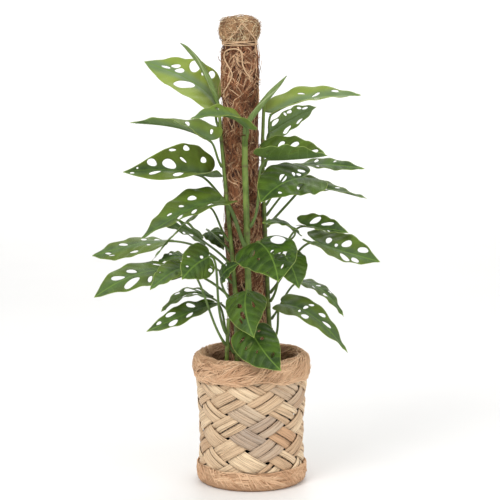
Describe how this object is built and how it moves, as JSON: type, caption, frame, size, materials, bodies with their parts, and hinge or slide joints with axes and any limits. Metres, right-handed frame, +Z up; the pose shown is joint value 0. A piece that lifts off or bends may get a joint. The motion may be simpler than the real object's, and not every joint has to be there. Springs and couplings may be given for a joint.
{
  "type": "potted climbing houseplant",
  "caption": "Climbing houseplant with large perforated leaves on a coir-wrapped pole, standing in a round plaited straw basket.",
  "frame": {"origin": "centre of the underside of the basket's foot band, where the plant rests", "axes": "+Z up along the pole, -Y towards the front shown in the picture, +X to the right seen from the front"},
  "size_m": [0.4503, 0.2631, 0.718],
  "materials": {
    "basket_floor": "dry woven straw",
    "basket_foot": "twisted dry fibre",
    "basket_rim": "twisted dry fibre",
    "basket_wall": "dry flat straw strips, some greyed",
    "nursery_pot": "matte black",
    "soil": "dark crumbly potting soil",
    "coir_pole": "shaggy coconut fibre",
    "neck_tie": "fibre twine",
    "twine_loop": "fibre twine",
    "cane": "cut brown cane",
    "stem_front": "smooth green stem with knots",
    "stem_left": "smooth green stem with knots",
    "stem_right": "smooth green stem with knots",
    "stem_low": "smooth green stem with knots",
    "leaf_01": "satin leaf, paler beneath",
    "leaf_02": "satin leaf, paler beneath",
    "leaf_03": "satin leaf, paler beneath",
    "leaf_04": "satin leaf, paler beneath",
    "leaf_05": "satin leaf, paler beneath",
    "leaf_06": "satin leaf, paler beneath",
    "leaf_07": "satin leaf, paler beneath",
    "leaf_08": "satin leaf, paler beneath",
    "leaf_09": "satin leaf, paler beneath",
    "leaf_10": "satin leaf, paler beneath",
    "leaf_11": "satin leaf, paler beneath",
    "leaf_12": "satin leaf, paler beneath",
    "leaf_13": "satin leaf, paler beneath",
    "leaf_14": "satin leaf, paler beneath",
    "leaf_15": "satin leaf, paler beneath",
    "leaf_16": "satin leaf, paler beneath",
    "leaf_17": "satin leaf, paler beneath",
    "leaf_18": "satin leaf, paler beneath",
    "leaf_19": "satin leaf, paler beneath",
    "leaf_20": "satin leaf, paler beneath",
    "leaf_21": "satin leaf, paler beneath",
    "leaf_22": "satin leaf, paler beneath",
    "leaf_23": "satin leaf, paler beneath",
    "leaf_24": "satin leaf, paler beneath",
    "leaf_25": "satin leaf, paler beneath",
    "leaf_26": "satin leaf, paler beneath",
    "leaf_27": "satin leaf, paler beneath",
    "leaf_28": "satin leaf, paler beneath",
    "leaf_29": "satin leaf, paler beneath",
    "leaf_30": "satin leaf, paler beneath",
    "leaf_31": "satin leaf, paler beneath",
    "young_leaf_left": "satin young leaf",
    "young_leaf_front": "satin young leaf"
  },
  "bodies": {
    "root": {"basket_floor": "basket_floor", "basket_foot": "basket_foot", "basket_rim": "basket_rim", "basket_wall": "basket_wall", "nursery_pot": "nursery_pot", "soil": "soil", "coir_pole": "coir_pole", "neck_tie": "neck_tie", "twine_loop": "twine_loop", "cane": "cane", "stem_front": "stem_front", "stem_left": "stem_left", "stem_right": "stem_right", "stem_low": "stem_low", "leaf_01": "leaf_01", "leaf_02": "leaf_02", "leaf_03": "leaf_03", "leaf_04": "leaf_04", "leaf_05": "leaf_05", "leaf_06": "leaf_06", "leaf_07": "leaf_07", "leaf_08": "leaf_08", "leaf_09": "leaf_09", "leaf_10": "leaf_10", "leaf_11": "leaf_11", "leaf_12": "leaf_12", "leaf_13": "leaf_13", "leaf_14": "leaf_14", "leaf_15": "leaf_15", "leaf_16": "leaf_16", "leaf_17": "leaf_17", "leaf_18": "leaf_18", "leaf_19": "leaf_19", "leaf_20": "leaf_20", "leaf_21": "leaf_21", "leaf_22": "leaf_22", "leaf_23": "leaf_23", "leaf_24": "leaf_24", "leaf_25": "leaf_25", "leaf_26": "leaf_26", "leaf_27": "leaf_27", "leaf_28": "leaf_28", "leaf_29": "leaf_29", "leaf_30": "leaf_30", "leaf_31": "leaf_31", "young_leaf_left": "young_leaf_left", "young_leaf_front": "young_leaf_front"}
  },
  "joints": []
}
